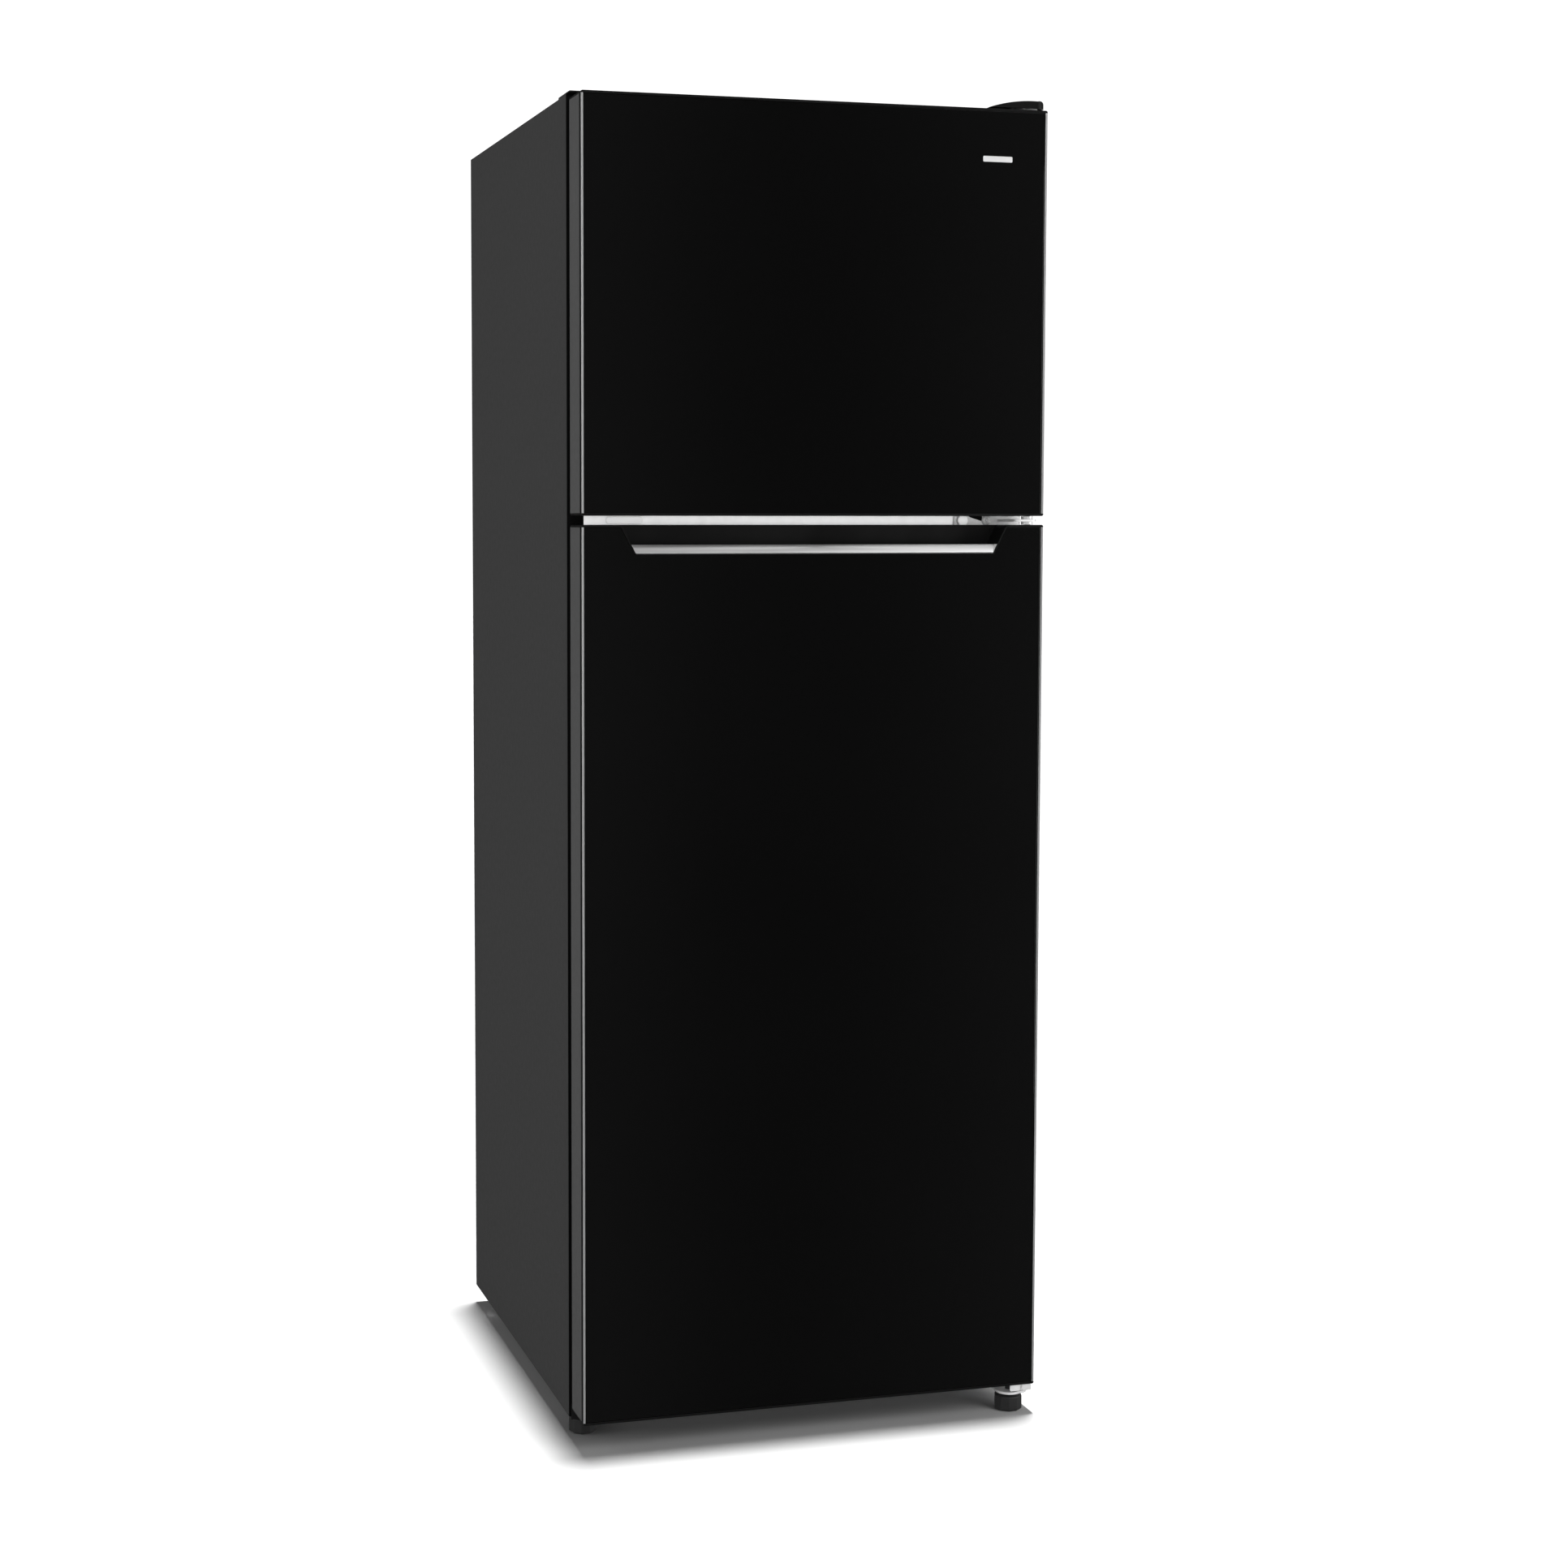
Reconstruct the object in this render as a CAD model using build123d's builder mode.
"""Top freezer refrigerator: cabinet, two swinging doors, crisper drawer, cold-air and
compressor parts, hinges, levelling feet and rear rollers.

Millimetres, +Z up. The origin is on the floor below the middle of the outline. The doors
face -Y and hinge on the +X side.
"""
from build123d import *
import os

# ---------------------------------------------------------------- driving dimensions
WIDTH = 600.0            # across the side panels
FRONT = -330.0           # front face of both doors
BACK = 330.0             # rear edge of the cabinet
SHELL_BOTTOM = 26.0      # underside of the cabinet above the floor
SHELL_TOP = 1668.0       # top of the cabinet
SHEET = 1.0              # painted steel sheet
LINER = 1.5              # vacuum-formed plastic liner

DOOR_THICK = 58.0        # door body without its gasket
GASKET_DEEP = 15.7
GASKET_WIDE = 18.0
GASKET_HALF = 276.0      # outer edge of the gasket from the middle
SEAL_GAP = 16.0          # door body to cabinet front

FRIDGE_DOOR = (39.0, 1147.0)       # lowest and highest Z of the lower door
FREEZER_DOOR = (1158.0, 1662.0)    # lowest and highest Z of the upper door
CAP_LIP = 3.0            # visible edge of a door end cap
CAP_PLUG = 11.0          # part of the cap inside the door skin
GLASS = 4.0              # depth from a door's front face to the sheet behind its panel
GLASS_SET = 0.5          # the front panel lies this far behind the edge strips
TRIM = 3.5               # width of the bright edge strip

FLANGE = 40.0            # folded front edge of the side and top panels
MULLION = (1121.0, 1184.0)
MULLION_HALF = 279.0

FREEZER_HALF = 235.0     # half width of the freezer space
FREEZER_Z = (1186.0, 1603.0)
FREEZER_BACK = 250.0
FRIDGE_HALF = 250.0      # half width of the fresh-food space
FRIDGE_Z = (80.0, 1119.0)
FRIDGE_BACK = 270.0
STEP_Y = 95.0            # front of the step over the machine space
STEP_Z = 292.0           # top of the step

MACHINE_Y = 150.0        # front wall of the machine space
MACHINE_TOP = 240.0      # ceiling of the machine space

HINGE_X = 288.0
HINGE_Y = -306.0
HOOD_SIDE = 224.0        # left end of the cover over the top hinge
PIN_R = 4.0
RUNNING = 0.05           # radial clearance of a pin in its socket
SHOULDER_R = 7.5

RECESS_TOP = 250.0       # half width of the grip recess at the top of the lower door
RECESS_LOW = 232.0       # half width at the grip strip
RECESS_SILL = 1111.5     # lower edge of the grip recess in the door front
RECESS_ROUND = 5.0       # rounding where the recess meets the top edge of the door
POCKET_FLOOR = 1090.0    # bottom of the finger pocket behind the strip
POCKET_BACK = -296.0     # rear wall of the recess

FOOT_R = 18.0
FOOT_HIGH = 20.0
FOOT_RIGHT = (276.0, -303.0)
FOOT_LEFT = (-278.0, -238.0)
STUD_R = 4.0
ROLLER_R = 12.0
ROLLER_X = 276.0
ROLLER_Y = 262.0
AXLE_R = 3.0

DRAWER_HALF = 240.0
DRAWER_Y = (-128.0, 88.0)
DRAWER_Z = (80.5, 284.0)

FAN_Z = 1500.0
FAN_Y = 211.0
KNOB_Z = 1102.0
KNOB_Y = -20.0
COMPRESSOR = (130.0, 238.0)

HALF = WIDTH / 2
IN = HALF - SHEET                      # inside face of the side panels
DOOR_BACK = FRONT + DOOR_THICK
SHELL_FRONT = DOOR_BACK + SEAL_GAP
LOW = (Align.CENTER, Align.CENTER, Align.MIN)

# Screws: where the head seats, the way the shank points, and its length
DOWN, UP, REAR = (0, 0, -1), (0, 0, 1), (0, 1, 0)
SCREWS = [
    ((273, -230, SHELL_TOP + 3), DOWN, 22), ((273, -204, SHELL_TOP + 3), DOWN, 22),
    ((287, -217, SHELL_TOP + 3), DOWN, 22),
    ((219, SHELL_FRONT - 3, 1152.5), REAR, 20), ((252, SHELL_FRONT - 3, 1152.5), REAR, 20),
    ((244, SHELL_FRONT - 3, 38), REAR, 20), ((268, SHELL_FRONT - 3, 38), REAR, 20),
    ((246, -214, SHELL_BOTTOM - 3), UP, 20), ((280, -198, SHELL_BOTTOM - 3), UP, 20),
    ((-252, -214, SHELL_BOTTOM - 3), UP, 20), ((-284, -208, SHELL_BOTTOM - 3), UP, 20),
]
SCREW_R = 2.5
HEAD_R = 6.4


# ---------------------------------------------------------------- helpers
def block(x, y, z, mode=Mode.ADD):
    """A box given by its (low, high) spans."""
    with Locations(((x[0] + x[1]) / 2, (y[0] + y[1]) / 2, (z[0] + z[1]) / 2)):
        Box(x[1] - x[0], y[1] - y[0], z[1] - z[0], mode=mode)


def wide(half, y, z, mode=Mode.ADD):
    """A box centred across the width."""
    block((-half, half), y, z, mode)


def frame(outer, inner, y, z, rim):
    """A rectangular ring in the plane of the doors. rim is its width at top and bottom."""
    wide(outer, y, z)
    wide(inner, y, (z[0] + rim, z[1] - rim), Mode.SUBTRACT)


def post(x, y, z, radius, mode=Mode.ADD):
    """A vertical round post between two heights."""
    with Locations((x, y, z[0])):
        Cylinder(radius, z[1] - z[0], align=LOW, mode=mode)


def screw_holes(radius=SCREW_R + 0.2):
    """Clearance for every screw shank, cut from the part that is open."""
    for seat, way, length in SCREWS:
        with Locations(Plane(origin=seat, z_dir=way)):
            Cylinder(radius, length + 0.5, align=LOW, mode=Mode.SUBTRACT)


def recess_half(z):
    """Half width of the grip recess at height z. Its ends slant."""
    slope = (RECESS_TOP - RECESS_LOW) / (FRIDGE_DOOR[1] - RECESS_SILL)
    return RECESS_LOW + slope * (z - RECESS_SILL)


def recess_outline(low, high, grow):
    """Corners in X and Z of the recess between two heights, grown sideways."""
    top = FRIDGE_DOOR[1]
    right = [(recess_half(low) + grow, low)]
    if high < top:
        right.append((recess_half(high) + grow, high))
    else:
        for rise in (0.0, 2.0, 3.5, 4.5, RECESS_ROUND):
            flare = RECESS_ROUND - (RECESS_ROUND ** 2 - rise ** 2) ** 0.5
            z = top - RECESS_ROUND + rise
            right.append((recess_half(z) + flare + grow, z))
        if high > top:
            right.append((right[-1][0], high))
    return right + [(-x, z) for x, z in reversed(right)]


def finish(builder, name):
    builder.part.label = name
    export_step(builder.part, f"parts/{name}.step")
    print(f"{name:22s} {len(builder.part.solids())} solid(s) {builder.part.volume / 1000:10.1f} cm3")


os.makedirs("parts", exist_ok=True)

# ---------------------------------------------------------------- cabinet shell
for side, name in ((-1, "side_panel_left"), (1, "side_panel_right")):
    with BuildPart() as side_panel:
        sheet_x = sorted((side * IN, side * HALF))
        front_x = sorted((side * (HALF - FLANGE), side * IN))
        rear_x = sorted((side * (HALF - 20), side * IN))
        notch_x = sorted((side * (HALF - FLANGE), side * MULLION_HALF))
        block(sheet_x, (SHELL_FRONT, BACK), (SHELL_BOTTOM, SHELL_TOP))
        block(front_x, (SHELL_FRONT, SHELL_FRONT + SHEET), (SHELL_BOTTOM, SHELL_TOP))
        block(rear_x, (BACK - SHEET, BACK), (SHELL_BOTTOM, SHELL_TOP - SHEET))
        block(notch_x, (SHELL_FRONT, SHELL_FRONT + SHEET), MULLION, Mode.SUBTRACT)
        block(front_x, (SHELL_FRONT, SHELL_FRONT + SHEET), (SHELL_TOP - SHEET, SHELL_TOP),
              Mode.SUBTRACT)
        screw_holes()
    finish(side_panel, name)

with BuildPart() as top_panel:
    wide(IN, (SHELL_FRONT, BACK), (SHELL_TOP - SHEET, SHELL_TOP))
    wide(HALF - FLANGE, (SHELL_FRONT, SHELL_FRONT + SHEET), (SHELL_TOP - FLANGE, SHELL_TOP))
    wide(HALF - 20, (BACK - SHEET, BACK), (SHELL_TOP - 28, SHELL_TOP))
    screw_holes()
finish(top_panel, "top_panel")

# Raised strip along the front of the top, as far as the hinge cover. It overhangs the seal gap.
TRIM_TOP = SHELL_TOP + 3
with BuildPart() as front_top_trim:
    block((-HALF, HOOD_SIDE - 2), (SHELL_FRONT - 14, SHELL_FRONT + 41), (SHELL_TOP, TRIM_TOP))
    chamfer(front_top_trim.faces().sort_by(Axis.Z)[-1].edges(), 1.2)
finish(front_top_trim, "front_top_trim")

with BuildPart() as back_panel:
    wide(IN, (BACK - 2 * SHEET, BACK - SHEET), (MACHINE_TOP + SHEET, SHELL_TOP - SHEET))
finish(back_panel, "back_panel")

# Folded floor: front flange, bottom, riser and the ceiling of the machine space
with BuildPart() as base_panel:
    wide(IN, (SHELL_FRONT + SHEET, MACHINE_Y + SHEET), (SHELL_BOTTOM, SHELL_BOTTOM + SHEET))
    wide(HALF - FLANGE, (SHELL_FRONT, SHELL_FRONT + SHEET), (SHELL_BOTTOM, FRIDGE_Z[0] - 10))
    wide(IN, (MACHINE_Y, MACHINE_Y + SHEET), (SHELL_BOTTOM, MACHINE_TOP + SHEET))
    wide(IN, (MACHINE_Y, BACK - 2 * SHEET), (MACHINE_TOP, MACHINE_TOP + SHEET))
    screw_holes()
    post(*FOOT_LEFT, (SHELL_BOTTOM, SHELL_BOTTOM + SHEET), STUD_R + 2, Mode.SUBTRACT)
finish(base_panel, "base_panel")

with BuildPart() as mullion_bar:
    wide(MULLION_HALF, (SHELL_FRONT, SHELL_FRONT + SHEET), MULLION)
    screw_holes()
finish(mullion_bar, "mullion_bar")

# Rounded cover over the unused hinge holes at the other end of the mullion
with BuildPart() as mullion_plug:
    with BuildSketch(Plane.XZ.offset(-SHELL_FRONT)):
        with Locations((-227.5, 1152.5)):
            RectangleRounded(47, 9.5, 4)
    extrude(amount=1.6)
    chamfer(mullion_plug.faces().sort_by(Axis.Y)[0].edges(), 0.6)
finish(mullion_plug, "mullion_plug")

# ---------------------------------------------------------------- liners and foam
LEDGE_FREEZER = 1396.0
SHELF_Z = {"upper": 880.0, "middle": 655.0, "lower": 455.0}
LEDGE = 6.0

with BuildPart() as freezer_liner:
    wide(FREEZER_HALF + LINER, (SHELL_FRONT, FREEZER_BACK + LINER),
         (FREEZER_Z[0] - LINER, FREEZER_Z[1] + LINER))
    wide(HALF - FLANGE, (SHELL_FRONT, SHELL_FRONT + SHEET), (MULLION[1], SHELL_TOP - FLANGE))
    wide(FREEZER_HALF, (SHELL_FRONT, FREEZER_BACK), FREEZER_Z, Mode.SUBTRACT)
    for side in (-1, 1):
        ledge_x = sorted((side * FREEZER_HALF, side * (FREEZER_HALF - LEDGE)))
        block(ledge_x, (-150, 185), (LEDGE_FREEZER - LEDGE, LEDGE_FREEZER))
finish(freezer_liner, "freezer_liner")


def fridge_space(grow):
    """Side outline of the fresh-food space with its step, in Y and Z."""
    front = SHELL_FRONT
    return [(front, FRIDGE_Z[0] - grow), (STEP_Y + grow, FRIDGE_Z[0] - grow),
            (STEP_Y + grow, STEP_Z - grow), (FRIDGE_BACK + grow, STEP_Z - grow),
            (FRIDGE_BACK + grow, FRIDGE_Z[1] + grow), (front, FRIDGE_Z[1] + grow)]


with BuildPart() as fridge_liner:
    with BuildSketch(Plane.YZ):
        Polygon(*fridge_space(LINER), align=None)
    extrude(amount=FRIDGE_HALF + LINER, both=True)
    wide(HALF - FLANGE, (SHELL_FRONT, SHELL_FRONT + SHEET), (FRIDGE_Z[0] - 10, MULLION[0]))
    with BuildSketch(Plane.YZ):
        Polygon(*fridge_space(0), align=None)
    extrude(amount=FRIDGE_HALF, both=True, mode=Mode.SUBTRACT)
    for side in (-1, 1):
        ledge_x = sorted((side * FRIDGE_HALF, side * (FRIDGE_HALF - LEDGE)))
        for height in SHELF_Z.values():
            block(ledge_x, (-120, 255), (height - LEDGE, height))
        block(ledge_x, (-120, STEP_Y), (STEP_Z - LEDGE, STEP_Z))
finish(fridge_liner, "fridge_liner")

with BuildPart() as insulation_foam:
    wide(IN, (SHELL_FRONT + SHEET, BACK - 2 * SHEET), (SHELL_BOTTOM + SHEET, SHELL_TOP - SHEET))
    wide(IN, (MACHINE_Y, BACK), (0, MACHINE_TOP + SHEET), Mode.SUBTRACT)
    wide(FREEZER_HALF + LINER, (SHELL_FRONT, FREEZER_BACK + LINER),
         (FREEZER_Z[0] - LINER, FREEZER_Z[1] + LINER), Mode.SUBTRACT)
    with BuildSketch(Plane.YZ):
        Polygon(*fridge_space(LINER), align=None)
    extrude(amount=FRIDGE_HALF + LINER, both=True, mode=Mode.SUBTRACT)
    screw_holes()
    post(*FOOT_LEFT, (SHELL_BOTTOM, 42), STUD_R + 2, Mode.SUBTRACT)
finish(insulation_foam, "insulation_foam")

# ---------------------------------------------------------------- freezer interior
COVER_Y = 190.0
with BuildPart() as evaporator_cover:
    wide(FREEZER_HALF - 1, (COVER_Y, COVER_Y + 2), (FREEZER_Z[0], FREEZER_Z[1] - 2))
    for row in range(7):                      # air grille in front of the fan
        height = FAN_Z - 36 + 12 * row
        half = (46**2 - (height - FAN_Z) ** 2) ** 0.5
        wide(half, (COVER_Y, COVER_Y + 2), (height - 3, height + 3), Mode.SUBTRACT)
    for column in range(-5, 6):               # return slots along the bottom
        block((column * 36 - 14, column * 36 + 14), (COVER_Y, COVER_Y + 2),
              (FREEZER_Z[0] + 14, FREEZER_Z[0] + 20), Mode.SUBTRACT)
finish(evaporator_cover, "evaporator_cover")

COIL_Z = (1200.0, 1400.0)
with BuildPart() as evaporator:
    for end in (-1, 1):
        block(sorted((end * 185, end * 187)), (204, 242), (FREEZER_Z[0], COIL_Z[1]))
    with GridLocations(20, 1, 18, 1):
        with Locations((0, 223, (COIL_Z[0] + COIL_Z[1]) / 2 + 3)):
            Box(0.8, 38, COIL_Z[1] - COIL_Z[0] - 6)
    for row in range(5):
        for tube_y in (213, 233):
            with Locations((0, tube_y, COIL_Z[0] + 26 + 36 * row)):
                Cylinder(4, 388, rotation=(0, 90, 0))
finish(evaporator, "evaporator")

FAN_PLANE = Plane(origin=(0, FAN_Y, FAN_Z), x_dir=(1, 0, 0), z_dir=(0, -1, 0))
with BuildPart(FAN_PLANE) as evaporator_fan:
    Cylinder(18, 16)
    with PolarLocations(30, 5):
        Box(38, 26, 1.6, rotation=(32, 0, 0))
    Cylinder(50, 40, mode=Mode.INTERSECT)
    Cylinder(AXLE_R + RUNNING, 40, mode=Mode.SUBTRACT)
finish(evaporator_fan, "evaporator_fan")

with BuildPart() as fan_motor:
    with BuildSketch(Plane.XZ.offset(-FREEZER_BACK)):
        with Locations((0, FAN_Z)):
            Circle(24)
    extrude(amount=22)
    with BuildSketch(Plane.XZ.offset(-FREEZER_BACK)):
        with Locations((0, FAN_Z)):
            Rectangle(90, 16)
    extrude(amount=4)
    with BuildSketch(Plane.XZ.offset(-FREEZER_BACK)):
        with Locations((0, FAN_Z)):
            Circle(AXLE_R)
    extrude(amount=FREEZER_BACK - FAN_Y + 7)
finish(fan_motor, "fan_motor")

with BuildPart() as freezer_shelf:
    wide(FREEZER_HALF - 1, (-148, COVER_Y - 2), (LEDGE_FREEZER, LEDGE_FREEZER + 4))
    wide(FREEZER_HALF - 1, (-150, -140), (LEDGE_FREEZER, LEDGE_FREEZER + 12))
    wide(FREEZER_HALF - 1, (COVER_Y - 8, COVER_Y - 2), (LEDGE_FREEZER, LEDGE_FREEZER + 12))
finish(freezer_shelf, "freezer_shelf")

# ---------------------------------------------------------------- fresh-food interior
SHELF_Y = (-128.0, 256.0)
SHELF_HALF = FRIDGE_HALF - 1.5
RAIL = 12.0
PANE = 4.0


def pane_spans(height):
    return (SHELF_Y[0] + 6, SHELF_Y[1] - 6), (height + RAIL - PANE, height + RAIL)


for name, height in SHELF_Z.items():
    with BuildPart() as shelf_frame:
        wide(SHELF_HALF, SHELF_Y, (height, height + RAIL))
        wide(SHELF_HALF - 16, (SHELF_Y[0] + 16, SHELF_Y[1] - 16), (height, height + RAIL),
             Mode.SUBTRACT)
        wide(SHELF_HALF - 6, *pane_spans(height), Mode.SUBTRACT)
        front_rim = shelf_frame.edges().filter_by(Axis.X).sort_by(Axis.Y)[:2]
        fillet(front_rim, 2)
    finish(shelf_frame, f"shelf_frame_{name}")

with BuildPart() as shelf_glass:
    for height in SHELF_Z.values():
        wide(SHELF_HALF - 6, *pane_spans(height))
finish(shelf_glass, "shelf_glass")

with BuildPart() as crisper_cover:
    wide(SHELF_HALF, (-126, 262), (STEP_Z, STEP_Z + 4))
    wide(SHELF_HALF, (-128, -116), (STEP_Z, STEP_Z + 10))
    wide(SHELF_HALF, (-126, -124), (STEP_Z - 4, STEP_Z))
finish(crisper_cover, "crisper_cover")

DRAWER_DEEP = DRAWER_Y[1] - DRAWER_Y[0]
DRAWER_MID = (DRAWER_Y[0] + DRAWER_Y[1]) / 2
with BuildPart() as crisper_drawer:
    with BuildSketch(Plane.XY.offset(DRAWER_Z[0])):
        with Locations((0, DRAWER_MID)):
            RectangleRounded(2 * DRAWER_HALF, DRAWER_DEEP, 10)
    extrude(amount=DRAWER_Z[1] - DRAWER_Z[0])
    with BuildSketch(Plane.XY.offset(DRAWER_Z[0] + 3)):
        with Locations((0, DRAWER_MID)):
            RectangleRounded(2 * DRAWER_HALF - 6, DRAWER_DEEP - 6, 8)
    extrude(amount=DRAWER_Z[1] - DRAWER_Z[0], mode=Mode.SUBTRACT)
    wide(90, (DRAWER_Y[0] - 12, DRAWER_Y[0] + 1), (258, 262))
    wide(90, (DRAWER_Y[0] - 12, DRAWER_Y[0] - 9), (248, 262))
finish(crisper_drawer, "crisper_drawer")

with BuildPart() as air_duct_cover:
    wide(62, (258, FRIDGE_BACK), (900, 1080))
    wide(60, (260, FRIDGE_BACK), (902, 1078), Mode.SUBTRACT)
    for row in range(4):
        wide(34, (257, 261), (925 + 40 * row, 931 + 40 * row), Mode.SUBTRACT)
finish(air_duct_cover, "air_duct_cover")

with BuildPart() as control_housing:
    wide(100, (KNOB_Y, 120), (1084, FRIDGE_Z[1]))
    wide(98, (KNOB_Y + 2, 118), (1086, FRIDGE_Z[1]), Mode.SUBTRACT)
    with Locations((0, KNOB_Y + 6, KNOB_Z)):
        Cylinder(8, 12, rotation=(90, 0, 0))
        Cylinder(AXLE_R + RUNNING, 30, rotation=(90, 0, 0), mode=Mode.SUBTRACT)
finish(control_housing, "control_housing")

KNOB_PLANE = Plane(origin=(0, KNOB_Y - 0.3, KNOB_Z), x_dir=(1, 0, 0), z_dir=(0, -1, 0))
with BuildPart(KNOB_PLANE) as thermostat_knob:
    Cylinder(15, 10, align=LOW)
    chamfer(thermostat_knob.faces().sort_by(Axis.Y)[0].edges(), 1.5)
    with Locations((0, 0, 10)):
        Box(5, 26, 5, align=LOW)
    Cylinder(AXLE_R, 11, align=(Align.CENTER, Align.CENTER, Align.MAX))
finish(thermostat_knob, "thermostat_knob")

# ---------------------------------------------------------------- hinges on the cabinet
HINGE = (HINGE_X, HINGE_Y)
PLATE = 3.0

with BuildPart() as top_hinge:
    block((264, 296), (-240, -194), (SHELL_TOP, SHELL_TOP + PLATE))
    block((270, 292.5), (-318, -240), (SHELL_TOP, SHELL_TOP + PLATE))
    post(*HINGE, (FREEZER_DOOR[1] + 0.3, SHELL_TOP), SHOULDER_R)
    post(*HINGE, (FREEZER_DOOR[1] - 12, SHELL_TOP), PIN_R)
    screw_holes()
finish(top_hinge, "top_hinge")

# Cover over the top hinge: a low hood over the door's corner and a higher box behind it
HOOD_FRONT = FRONT + 3
HOOD_FLOOR = FREEZER_DOOR[1] + 2.5
COVER_SIDE = 242.0
COVER_TOP = SHELL_TOP + 9
HOOD_Y = (SHELL_FRONT - 2, -190.0)


def hood(wall):
    """The part of the cover over the door: its crown climbs from the left, its front right
    corner is round. The wall draws it in everywhere but at its open floor."""
    side, right, front = HOOD_SIDE + wall, HALF - 0.5 - wall, HOOD_FRONT + wall
    corner = 12 - wall
    with BuildPart() as body:
        with BuildSketch(Plane.XZ.offset(-HOOD_Y[0])):
            with BuildLine():
                Polyline((side, HOOD_FLOOR), (right, HOOD_FLOOR), (right, 1668 - wall))
                ThreePointArc((right, 1668 - wall), (right - 3.2, 1672.2 - wall),
                              (288, 1673.6 - wall))
                ThreePointArc((288, 1673.6 - wall), (254, 1671.6 - wall), (side, HOOD_FLOOR))
            make_face()
        extrude(amount=HOOD_Y[0] - front)
        with BuildSketch(Plane.XY.offset(1660)):
            with BuildLine():
                Polyline((right, front + corner), (right, HOOD_Y[0]), (side, HOOD_Y[0]),
                         (side, front), (right - corner, front))
                middle = 0.293 * corner
                ThreePointArc((right - corner, front), (right - middle, front + middle),
                              (right, front + corner))
            make_face()
        extrude(amount=20, mode=Mode.INTERSECT)
    return body.part


def cover_box(wall):
    """The part of the cover on the cabinet top, drawn in by the wall."""
    side, right, top = COVER_SIDE + wall, HALF - 0.5 - wall, COVER_TOP - wall
    with BuildPart() as body:
        with BuildSketch(Plane.XZ.offset(-HOOD_Y[1] + wall)):
            with BuildLine():
                Polyline((side, SHELL_TOP + 1), (side, SHELL_TOP), (right, SHELL_TOP),
                         (right, top - 5))
                ThreePointArc((right, top - 5), (right - 1.8, top - 1.5), (right - 6, top))
                Line((right - 6, top), (side + 22, top))
                Line((side + 22, top), (side, SHELL_TOP + 1))
            make_face()
        extrude(amount=HOOD_Y[1] - HOOD_Y[0] - 2 * wall)
    return body.part


with BuildPart() as top_hinge_cover:
    add(hood(0))
    add(cover_box(0))
    add(hood(1.5), mode=Mode.SUBTRACT)
    add(cover_box(2), mode=Mode.SUBTRACT)
    block((COVER_SIDE + 2, HALF - 2.5), (HOOD_Y[0] - 2, HOOD_Y[0] + 3), (1664, 1671.6),
          Mode.SUBTRACT)
    block((HOOD_SIDE, HALF), (HOOD_Y[0] - 0.5, HOOD_Y[1]), (1660, SHELL_TOP), Mode.SUBTRACT)
finish(top_hinge_cover, "top_hinge_cover")

HINGE_Z = (1151.0, 1154.0)
with BuildPart() as middle_hinge:
    block((208, 298), (SHELL_FRONT - PLATE, SHELL_FRONT), (1143, 1162))
    block((268, 298), (-318, SHELL_FRONT - PLATE), HINGE_Z)
    fillet(middle_hinge.edges().filter_by(Axis.Z).sort_by(Axis.Y)[:2], 8)
    post(*HINGE, (HINGE_Z[1], FREEZER_DOOR[0] - 0.3), SHOULDER_R)
    post(*HINGE, (FRIDGE_DOOR[1] + 0.3, HINGE_Z[0]), SHOULDER_R)
    post(*HINGE, (FRIDGE_DOOR[1] - 10, FREEZER_DOOR[0] + 11), PIN_R)
    screw_holes()
finish(middle_hinge, "middle_hinge")

with BuildPart() as bottom_hinge:
    with BuildSketch(Plane.XY.offset(SHELL_BOTTOM - PLATE)):
        with Locations(((234 + 298) / 2, -220)):
            Rectangle(64, 80)
        with Locations(FOOT_RIGHT):
            Circle(17)
            Rectangle(34, 80, align=(Align.CENTER, Align.MIN))
        with Locations(HINGE):
            Circle(11)
            Rectangle(20, 80, align=(Align.CENTER, Align.MIN))
    extrude(amount=PLATE)
    block((235, 298), (SHELL_FRONT - PLATE, SHELL_FRONT), (SHELL_BOTTOM - PLATE, 47))
    post(*HINGE, (SHELL_BOTTOM, FRIDGE_DOOR[0] - 0.3), SHOULDER_R)
    post(*HINGE, (SHELL_BOTTOM - PLATE - 1, FRIDGE_DOOR[0] + 12), PIN_R)
    post(*FOOT_RIGHT, (0, 60), STUD_R + RUNNING, Mode.SUBTRACT)
    screw_holes()
finish(bottom_hinge, "bottom_hinge")

with BuildPart() as left_foot_bracket:
    block((-298, -240), (SHELL_FRONT, -198), (SHELL_BOTTOM - PLATE, SHELL_BOTTOM))
    block((-298, -262), (SHELL_FRONT - PLATE, SHELL_FRONT), (SHELL_BOTTOM - PLATE, 44))
    post(*FOOT_LEFT, (0, 60), STUD_R + RUNNING, Mode.SUBTRACT)
    screw_holes()
finish(left_foot_bracket, "left_foot_bracket")

with BuildPart() as bracket_screws:
    for seat, way, length in SCREWS:
        with Locations(Plane(origin=seat, z_dir=way)):
            Cylinder(SCREW_R, length, align=LOW)
            Cylinder(HEAD_R, PLATE, align=(Align.CENTER, Align.CENTER, Align.MAX))
finish(bracket_screws, "bracket_screws")

# ---------------------------------------------------------------- feet and rollers
for name, place, stud_top in (("foot_right", FOOT_RIGHT, 35.5), ("foot_left", FOOT_LEFT, 38)):
    with BuildPart() as foot:
        with BuildSketch():
            with Locations(place):
                RegularPolygon(FOOT_R, 10)
        extrude(amount=FOOT_HIGH)
        chamfer(foot.faces().sort_by(Axis.Z)[0].edges(), 2.5)
        chamfer(foot.faces().sort_by(Axis.Z)[-1].edges(), 1.2)
        post(*place, (FOOT_HIGH, stud_top), STUD_R)
    finish(foot, name)

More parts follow.
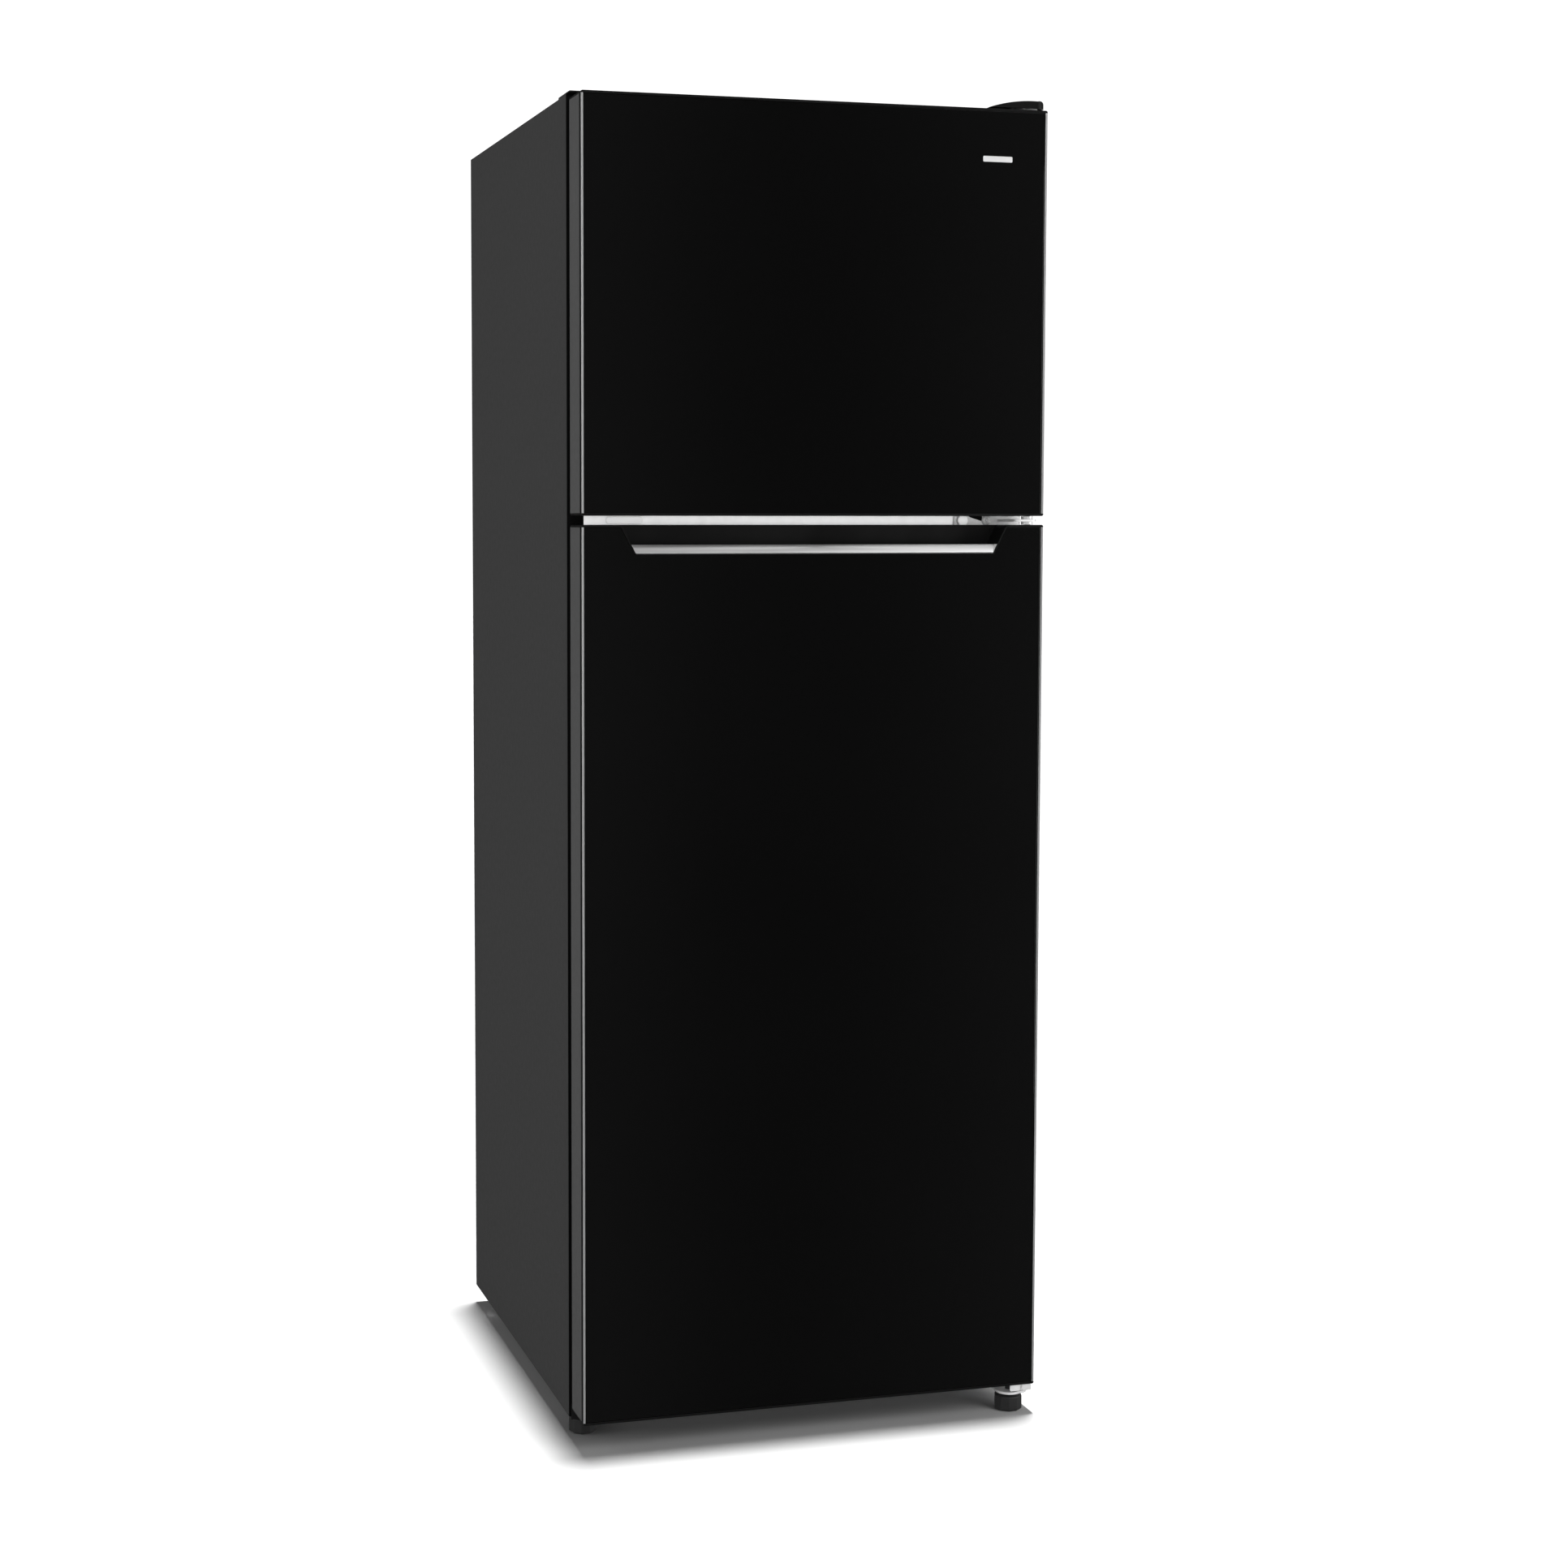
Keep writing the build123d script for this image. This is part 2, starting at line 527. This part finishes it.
CHEEK = 2.0
ROLLER_WIDE = 14.0
for side, name in ((-1, "roller_left"), (1, "roller_right")):
    plane = Plane(origin=(side * ROLLER_X, ROLLER_Y, ROLLER_R), z_dir=(1, 0, 0))
    with BuildPart(plane) as roller:
        Cylinder(ROLLER_R, ROLLER_WIDE)
        chamfer(roller.edges().filter_by(GeomType.CIRCLE), 1.2)
        Cylinder(AXLE_R + RUNNING, 30, mode=Mode.SUBTRACT)
    finish(roller, name)

with BuildPart() as roller_brackets:
    for side in (-1, 1):
        for edge in (-1, 1):
            near = side * ROLLER_X + edge * (ROLLER_WIDE / 2 + 1)
            block(sorted((near, near + edge * CHEEK)), (ROLLER_Y - 11, ROLLER_Y + 11),
                  (5, SHELL_BOTTOM))
            tab = (0, 8) if edge * side < 0 else (0, 5)
            block(sorted((near, near + edge * tab[1])), (ROLLER_Y - 24, ROLLER_Y + 24),
                  (SHELL_BOTTOM - CHEEK, SHELL_BOTTOM))
        with Locations((side * ROLLER_X, ROLLER_Y, ROLLER_R)):
            Cylinder(AXLE_R, ROLLER_WIDE + 2 * CHEEK + 6, rotation=(0, 90, 0))
finish(roller_brackets, "roller_brackets")

# ---------------------------------------------------------------- machine space
FLOOR = SHELL_BOTTOM + 2.5
COVER_BACK = BACK - 4
with BuildPart() as compressor_plate:
    wide(IN, (MACHINE_Y + SHEET, COVER_BACK), (SHELL_BOTTOM, FLOOR))
finish(compressor_plate, "compressor_plate")

MOUNT_HIGH = 15.0
with BuildPart() as compressor_mounts:
    with BuildSketch(Plane.XY.offset(FLOOR)):
        with Locations(COMPRESSOR):
            with GridLocations(150, 116, 2, 2):
                Circle(11)
    extrude(amount=MOUNT_HIGH)
finish(compressor_mounts, "compressor_mounts")

SHELL_R = 74.0
COMPRESSOR_LOW = FLOOR + MOUNT_HIGH
with BuildPart() as compressor:
    with BuildSketch(Plane.XY.offset(COMPRESSOR_LOW)):
        with Locations(COMPRESSOR):
            RectangleRounded(176, 142, 12)
    extrude(amount=3)
    profile_plane = Plane(origin=(*COMPRESSOR, COMPRESSOR_LOW), x_dir=(1, 0, 0), z_dir=(0, -1, 0))
    with BuildSketch(profile_plane):
        with BuildLine():
            Line((0, 3), (50, 3))
            ThreePointArc((50, 3), (68, 12), (SHELL_R, 34))
            Line((SHELL_R, 34), (SHELL_R, 100))
            ThreePointArc((SHELL_R, 100), (54, 138), (0, 152))
            Line((0, 152), (0, 3))
        make_face()
    revolve(axis=Axis((*COMPRESSOR, 0), (0, 0, 1)))
    block((COMPRESSOR[0] - 22, COMPRESSOR[0] + 22),
          (COMPRESSOR[1] - SHELL_R - 8, COMPRESSOR[1] - SHELL_R + 8),
          (COMPRESSOR_LOW + 50, COMPRESSOR_LOW + 100))
finish(compressor, "compressor")

with BuildPart() as drip_tray:
    block((-260, -60), (170, 310), (FLOOR, FLOOR + 40))
    block((-257.5, -62.5), (172.5, 307.5), (FLOOR + 2.5, FLOOR + 41), Mode.SUBTRACT)
finish(drip_tray, "drip_tray")

# Suction pipe up through the ceiling, discharge pipe with its filter drier to the side wall
SUCTION_X = COMPRESSOR[0] - SHELL_R
DISCHARGE_X = COMPRESSOR[0] + SHELL_R
PIPES = [
    ([(SUCTION_X, COMPRESSOR[1], 130), (SUCTION_X - 46, COMPRESSOR[1], 130),
      (SUCTION_X - 46, COMPRESSOR[1], MACHINE_TOP)], 4.0),
    ([(DISCHARGE_X, COMPRESSOR[1], 100), (DISCHARGE_X + 46, COMPRESSOR[1], 100),
      (DISCHARGE_X + 46, COMPRESSOR[1], 200), (IN, COMPRESSOR[1], 200)], 3.0),
]
with BuildPart() as refrigerant_pipes:
    for route, radius in PIPES:
        with BuildLine() as path:
            FilletPolyline(*route, radius=20)
        with BuildSketch(Plane(origin=path.line @ 0, z_dir=path.line % 0)):
            Circle(radius)
        sweep(path=path.line)
    post(DISCHARGE_X + 46, COMPRESSOR[1], (124, 176), 9)
finish(refrigerant_pipes, "refrigerant_pipes")

INLET = (-230.0, 62.0)
with BuildPart() as machine_cover:
    wide(IN, (COVER_BACK, COVER_BACK + SHEET), (SHELL_BOTTOM, MACHINE_TOP))
    with Locations((40, COVER_BACK + SHEET / 2, 140)):
        with GridLocations(44, 1, 9, 1):
            for row in range(-4, 5):
                with Locations((0, 0, row * 18)):
                    Box(32, 4, 6, mode=Mode.SUBTRACT)
    with Locations((INLET[0], COVER_BACK, INLET[1])):
        Cylinder(7, 10, rotation=(90, 0, 0), mode=Mode.SUBTRACT)
finish(machine_cover, "machine_cover")

with BuildPart() as power_inlet:
    with BuildSketch(Plane.XZ.offset(-BACK)):
        with Locations(INLET):
            Circle(11)
    extrude(amount=3)
    with BuildSketch(Plane.XZ.offset(-BACK)):
        with Locations(INLET):
            Circle(6.9)
    extrude(amount=8)
    with BuildSketch(Plane.XZ.offset(-BACK)):
        with Locations(INLET):
            Circle(3.6)
    extrude(amount=8, mode=Mode.SUBTRACT)
finish(power_inlet, "power_inlet")

# ---------------------------------------------------------------- doors
SOCKET = 14.0
DYKE = {"freezer": 222.0, "fridge": 236.0}        # half width of the raised door liner rim
DYKE_WIDE = {"freezer": 18.0, "fridge": 24.0}
DYKE_TOP = -236.0                                 # how far back the rim reaches
SPACE = {"freezer": FREEZER_Z, "fridge": FRIDGE_Z}
SPAN = {"freezer": FREEZER_DOOR, "fridge": FRIDGE_DOOR}
SEAL_Z = {"freezer": (1164.0, 1650.0), "fridge": (50.0, 1141.0)}
BIN_BACK = {"freezer": -188.0, "fridge": -160.0}
BINS = {"freezer": (1222.0, 1405.0), "fridge": (122.0, 460.0, 800.0)}
BIN_HIGH = 88.0
LINER_HALF = 279.0                                # half width of the flat of a door liner
CORNER = 2.5                                      # rounding of a door's outline


def cap_plate(z, plug):
    """One end cap: a full-size lip and a plug inside the skin."""
    with Locations((0, (FRONT + DOOR_BACK) / 2, (z[0] + z[1]) / 2)):
        Box(WIDTH, DOOR_THICK, z[1] - z[0])
    wide(IN, (FRONT + GLASS + SHEET, DOOR_BACK - 1.5), plug)


def recess_prism(low, high, grow, y, mode=Mode.ADD):
    """The slant-ended shape of the recess between two heights and two depths."""
    with BuildSketch(Plane.XZ.offset(-y[1])) as outline:
        Polygon(*recess_outline(low, high, grow), align=None)
    extrude(outline.sketch, amount=y[1] - y[0], mode=mode)


for door in ("freezer", "fridge"):
    low, high = SPAN[door]
    inner = (low + CAP_LIP, high - CAP_LIP)
    core = (inner[0] + CAP_PLUG, inner[1] - CAP_PLUG)
    glass_back = FRONT + GLASS
    liner_front = DOOR_BACK - LINER
    dyke_z = (SPACE[door][0] + 9, SPACE[door][1] - 9)
    dyke, rim = DYKE[door], DYKE_WIDE[door]
    is_fridge = door == "fridge"

    with BuildPart() as skin:                 # front sheet, two sides and rear folds
        wide(IN, (glass_back, glass_back + SHEET), inner)
        for side in (-1, 1):
            block(sorted((side * IN, side * HALF)), (glass_back, DOOR_BACK), inner)
            fold_x = sorted((side * LINER_HALF, side * IN))
            block(fold_x, (DOOR_BACK - SHEET, DOOR_BACK), inner)
        if is_fridge:
            recess_prism(POCKET_FLOOR - 2, high, 2, (glass_back - 1, glass_back + 2),
                         Mode.SUBTRACT)
    finish(skin, f"{door}_door_skin")

    with BuildPart() as glass:
        wide(HALF - TRIM, (FRONT + GLASS_SET, glass_back), inner)
        if is_fridge:
            recess_prism(RECESS_SILL, high, 2, (FRONT - 1, glass_back + 1), Mode.SUBTRACT)
        chamfer(glass.faces().sort_by(Axis.Y)[0].edges(), 0.5)
    finish(glass, f"{door}_door_glass")

    with BuildPart() as trims:
        for side in (-1, 1):
            block(sorted((side * (HALF - TRIM), side * HALF)), (FRONT, glass_back), inner)
        corners = trims.edges().filter_by(Axis.Z).group_by(Axis.Y)[0]
        fillet(corners, 0.8)
    finish(trims, f"{door}_door_trims")

    with BuildPart() as caps:
        cap_plate((low, inner[0]), (inner[0], core[0]))
        cap_plate((inner[1], high), (core[1], inner[1]))
        edges = caps.edges().filter_by(Axis.Y).filter_by(
            lambda e: abs(e.center().X) > HALF - 0.1 and (
                e.center().Z < low + 0.1 or e.center().Z > high - 0.1))
        fillet(edges, CORNER)
        if is_fridge:
            recess_prism(POCKET_FLOOR - 2, high, 2, (glass_back, POCKET_BACK + 2))
            recess_prism(RECESS_SILL, high, 2, (FRONT, glass_back))
            recess_prism(POCKET_FLOOR, high + 1, 0, (glass_back + 2, POCKET_BACK),
                         Mode.SUBTRACT)
            recess_prism(RECESS_SILL, high + 1, 0, (FRONT - 1, glass_back + 2), Mode.SUBTRACT)
        else:                                  # grip groove under the upper door
            wide(220, (-320, -300), (low, low + 10), Mode.SUBTRACT)
        post(*HINGE, (low, low + SOCKET - 1), PIN_R + RUNNING, Mode.SUBTRACT)
        post(*HINGE, (high - SOCKET + 1, high), PIN_R + RUNNING, Mode.SUBTRACT)
    finish(caps, f"{door}_door_caps")

    with BuildPart() as core_foam:
        wide(IN, (glass_back + SHEET, liner_front), core)
        frame(dyke - LINER, dyke - rim + LINER, (liner_front, DYKE_TOP - LINER),
              (dyke_z[0] + LINER, dyke_z[1] - LINER), rim - 2 * LINER)
        if is_fridge:
            recess_prism(POCKET_FLOOR - 2, high, 2, (glass_back, POCKET_BACK + 2),
                         Mode.SUBTRACT)
    finish(core_foam, f"{door}_door_core")

    with BuildPart() as liner:
        wide(LINER_HALF, (liner_front, DOOR_BACK), core)
        frame_y = (DOOR_BACK, DYKE_TOP)
        wide(dyke, frame_y, dyke_z)
        wide(dyke - rim, frame_y, (dyke_z[0] + rim, dyke_z[1] - rim), Mode.SUBTRACT)
        groove = (liner_front, DYKE_TOP - LINER)
        for x in ((-dyke + LINER, -dyke + rim - LINER), (dyke - rim + LINER, dyke - LINER)):
            block(x, groove, (dyke_z[0] + LINER, dyke_z[1] - LINER), Mode.SUBTRACT)
        for z in ((dyke_z[0] + LINER, dyke_z[0] + rim - LINER),
                  (dyke_z[1] - rim + LINER, dyke_z[1] - LINER)):
            wide(dyke - LINER, groove, z, Mode.SUBTRACT)
    finish(liner, f"{door}_door_liner")

    with BuildPart() as gasket:
        frame(GASKET_HALF, GASKET_HALF - GASKET_WIDE, (DOOR_BACK, DOOR_BACK + GASKET_DEEP),
              SEAL_Z[door], GASKET_WIDE)
    finish(gasket, f"{door}_door_gasket")

    bin_half = dyke - rim - 2
    bin_y = (DOOR_BACK, BIN_BACK[door])
    bin_mid, bin_deep = sum(bin_y) / 2, bin_y[1] - bin_y[0]
    with BuildPart() as bins:
        for z in BINS[door]:
            with BuildSketch(Plane.XY.offset(z)):
                with Locations((0, bin_mid)):
                    RectangleRounded(2 * bin_half, bin_deep, 12)
            extrude(amount=BIN_HIGH)
            with BuildSketch(Plane.XY.offset(z + 2.5)):
                with Locations((0, bin_mid)):
                    RectangleRounded(2 * bin_half - 5, bin_deep - 5, 9.5)
            extrude(amount=BIN_HIGH, mode=Mode.SUBTRACT)
            for side in (-1, 1):               # lugs that hold the bin between the rims
                lug = sorted((side * (bin_half - 1), side * (bin_half + 2)))
                block(lug, (-258, -244), (z + 50, z + 62))
    finish(bins, f"{door}_door_bins")

# Bright sloped strip across the front of the finger pocket
with BuildPart() as handle_strip:
    with BuildSketch(Plane.YZ):
        Polygon((FRONT, RECESS_SILL), (FRONT, RECESS_SILL + 1.5), (FRONT + 9.5, 1123),
                (FRONT + 12.5, 1123), (FRONT + 12.5, 1121), (FRONT + 5, RECESS_SILL),
                align=None)
    extrude(amount=RECESS_TOP, both=True)
    with BuildSketch(Plane.XZ.offset(-POCKET_BACK)):
        Polygon(*recess_outline(RECESS_SILL, 1130, 0), align=None)
    extrude(amount=POCKET_BACK - FRONT, mode=Mode.INTERSECT)
finish(handle_strip, "handle_strip")
